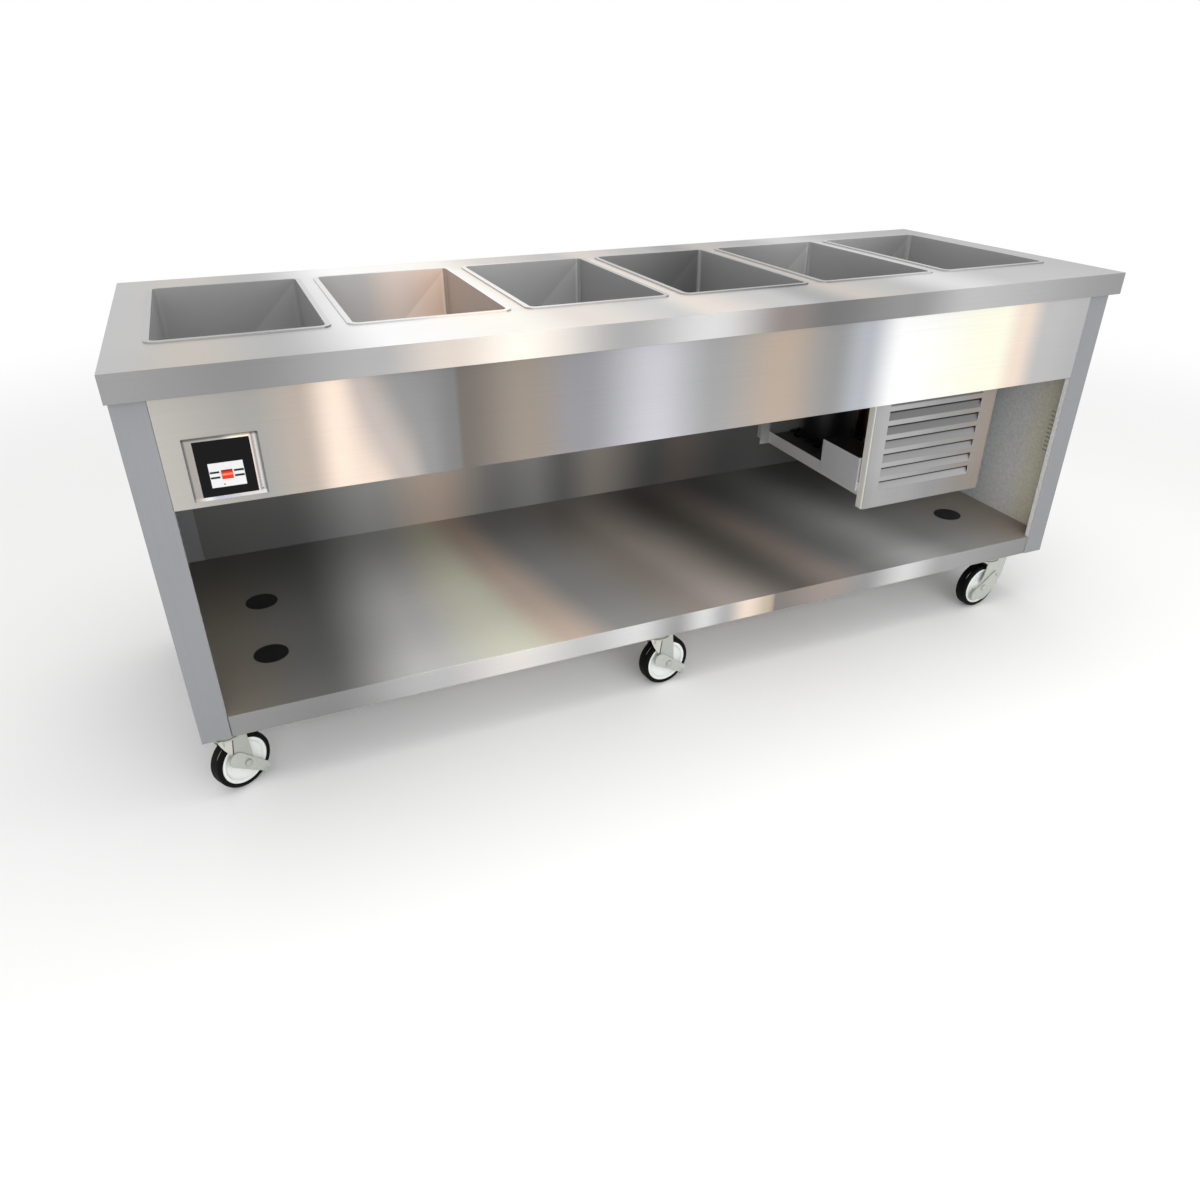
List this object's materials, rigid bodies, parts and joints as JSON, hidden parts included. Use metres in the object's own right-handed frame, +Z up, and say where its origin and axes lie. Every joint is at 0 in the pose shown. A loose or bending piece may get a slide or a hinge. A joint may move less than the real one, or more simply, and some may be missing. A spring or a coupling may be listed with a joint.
{
  "type": "mobile salad bar",
  "caption": "Long stainless serving counter with cooled food wells, an open storage shelf, a slide-out louvred condensing unit and swivel casters.",
  "frame": {"origin": "on the floor under the middle of the countertop", "axes": "+X along the counter to the right of the person at the open side, -Y out of the open side, +Z up"},
  "size_m": [2.2352, 0.81, 0.9169],
  "materials": {
    "stainless_top": "brushed stainless steel",
    "stainless_well": "brushed stainless steel",
    "stainless_panel": "brushed stainless steel",
    "stainless_apron": "brushed stainless steel",
    "stainless_shelf": "brushed stainless steel",
    "stainless_louvre": "brushed stainless steel",
    "galvanised": "galvanised steel",
    "rack_steel": "satin steel",
    "bezel_steel": "polished stainless steel",
    "zinc": "bright zinc plate",
    "copper": "copper tube",
    "brass": "cast brass",
    "lever": "vinyl-dipped steel",
    "foam": "rigid foam",
    "black_plastic": "matt",
    "label": "printed plate without words",
    "red_plastic": "gloss",
    "hub_white": "gloss",
    "tyre": "black rubber",
    "rubber": "black rubber",
    "black_steel": "satin black paint",
    "compressor_black": "gloss black paint",
    "coil_black": "bare fins",
    "fan_aluminium": "bare"
  },
  "bodies": {
    "root": {"countertop": "stainless_top", "cold_well_1": "stainless_well", "cold_well_2": "stainless_well", "cold_well_3": "stainless_well", "cold_well_4": "stainless_well", "cold_well_5": "stainless_well", "cold_well_6": "stainless_well", "well_case": "galvanised", "well_insulation": "foam", "evaporator_lines": "copper", "drain_manifold": "copper", "drain_valve_body": "brass", "end_panel_left": "stainless_panel", "end_panel_right": "stainless_panel", "back_panel": "stainless_panel", "front_apron": "stainless_apron", "top_rails": "galvanised", "bottom_shelf": "stainless_shelf", "base_channels": "galvanised", "shelf_hole_plugs": "black_plastic", "control_bezel": "bezel_steel", "control_box": "galvanised", "control_face": "black_plastic", "control_label": "label", "slide_rails": "galvanised", "caster_plates": "zinc"},
    "condensing_unit": {"unit_tray": "rack_steel", "unit_hanger_frame": "rack_steel", "louvre_panel": "stainless_louvre", "condenser_coil": "coil_black", "fan_shroud": "black_steel", "fan_motor": "black_steel", "compressor": "compressor_black", "compressor_feet": "rubber", "relay_box": "rack_steel", "receiver_and_lines": "copper"},
    "fan": {"fan_blade": "fan_aluminium"},
    "rocker": {"power_rocker": "red_plastic"},
    "drain_lever": {"drain_lever": "lever"},
    "swivel_front_left": {"fork_front_left": "zinc"},
    "wheel_front_left": {"hub_front_left": "hub_white", "tyre_front_left": "tyre"},
    "brake_pedal_left": {"brake_pedal_left": "zinc"},
    "swivel_front_middle": {"fork_front_middle": "zinc"},
    "wheel_front_middle": {"hub_front_middle": "hub_white", "tyre_front_middle": "tyre"},
    "brake_pedal_middle": {"brake_pedal_middle": "zinc"},
    "swivel_front_right": {"fork_front_right": "zinc"},
    "wheel_front_right": {"hub_front_right": "hub_white", "tyre_front_right": "tyre"},
    "brake_pedal_right": {"brake_pedal_right": "zinc"},
    "swivel_rear_left": {"fork_rear_left": "zinc"},
    "wheel_rear_left": {"hub_rear_left": "hub_white", "tyre_rear_left": "tyre"},
    "swivel_rear_middle": {"fork_rear_middle": "zinc"},
    "wheel_rear_middle": {"hub_rear_middle": "hub_white", "tyre_rear_middle": "tyre"},
    "swivel_rear_right": {"fork_rear_right": "zinc"},
    "wheel_rear_right": {"hub_rear_right": "hub_white", "tyre_rear_right": "tyre"}
  },
  "joints": [
    {"name": "unit_slide", "type": "slide", "parent": "root", "child": "condensing_unit", "axis": [0, -1, 0], "range_m": [0, 0.4]},
    {"name": "fan_spin", "type": "hinge", "parent": "condensing_unit", "child": "fan", "pos_m": [0.7145, -0.236, 0.5085], "axis": [0, -1, 0], "continuous": true},
    {"name": "rocker_tilt", "type": "hinge", "parent": "root", "child": "rocker", "pos_m": [-0.9585, -0.3737, 0.7132], "axis": [1, 0, 0], "range_deg": [-16, 0]},
    {"name": "drain_turn", "type": "hinge", "parent": "root", "child": "drain_lever", "pos_m": [-0.889, 0.004, 0.6362], "axis": [0, 1, 0], "range_deg": [0, 90]},
    {"name": "swivel_front_left", "type": "hinge", "parent": "root", "child": "swivel_front_left", "pos_m": [-1.072, -0.338, 0.14], "axis": [0, 0, 1], "continuous": true},
    {"name": "roll_front_left", "type": "hinge", "parent": "swivel_front_left", "child": "wheel_front_left", "pos_m": [-1.05504, -0.3274, 0.0635], "axis": [-0.5299, 0.848, 0], "continuous": true},
    {"name": "brake_left", "type": "hinge", "parent": "swivel_front_left", "child": "brake_pedal_left", "pos_m": [-1.05504, -0.3274, 0.0635], "axis": [-0.5299, 0.848, 0], "range_deg": [0, 25]},
    {"name": "swivel_front_middle", "type": "hinge", "parent": "root", "child": "swivel_front_middle", "pos_m": [-0.078, -0.338, 0.14], "axis": [0, 0, 1], "continuous": true},
    {"name": "roll_front_middle", "type": "hinge", "parent": "swivel_front_middle", "child": "wheel_front_middle", "pos_m": [-0.05819, -0.33522, 0.0635], "axis": [-0.1392, 0.9903, 0], "continuous": true},
    {"name": "brake_middle", "type": "hinge", "parent": "swivel_front_middle", "child": "brake_pedal_middle", "pos_m": [-0.05819, -0.33522, 0.0635], "axis": [-0.1392, 0.9903, 0], "range_deg": [0, 25]},
    {"name": "swivel_front_right", "type": "hinge", "parent": "root", "child": "swivel_front_right", "pos_m": [0.959, -0.338, 0.14], "axis": [0, 0, 1], "continuous": true},
    {"name": "roll_front_right", "type": "hinge", "parent": "swivel_front_right", "child": "wheel_front_right", "pos_m": [0.93908, -0.33974, 0.0635], "axis": [-0.0872, 0.9962, 0], "continuous": true},
    {"name": "brake_right", "type": "hinge", "parent": "swivel_front_right", "child": "brake_pedal_right", "pos_m": [0.93908, -0.33974, 0.0635], "axis": [-0.0872, 0.9962, 0], "range_deg": [0, 25]},
    {"name": "swivel_rear_left", "type": "hinge", "parent": "root", "child": "swivel_rear_left", "pos_m": [-1.072, 0.338, 0.14], "axis": [0, 0, 1], "continuous": true},
    {"name": "roll_rear_left", "type": "hinge", "parent": "swivel_rear_left", "child": "wheel_rear_left", "pos_m": [-1.05321, 0.34484, 0.0635], "axis": [0.342, -0.9397, 0], "continuous": true},
    {"name": "swivel_rear_middle", "type": "hinge", "parent": "root", "child": "swivel_rear_middle", "pos_m": [-0.078, 0.338, 0.14], "axis": [0, 0, 1], "continuous": true},
    {"name": "roll_rear_middle", "type": "hinge", "parent": "swivel_rear_middle", "child": "wheel_rear_middle", "pos_m": [-0.09781, 0.33522, 0.0635], "axis": [-0.1392, 0.9903, 0], "continuous": true},
    {"name": "swivel_rear_right", "type": "hinge", "parent": "root", "child": "swivel_rear_right", "pos_m": [0.959, 0.338, 0.14], "axis": [0, 0, 1], "continuous": true},
    {"name": "roll_rear_right", "type": "hinge", "parent": "swivel_rear_right", "child": "wheel_rear_right", "pos_m": [0.93959, 0.33316, 0.0635], "axis": [-0.2419, 0.9703, 0], "continuous": true}
  ]
}
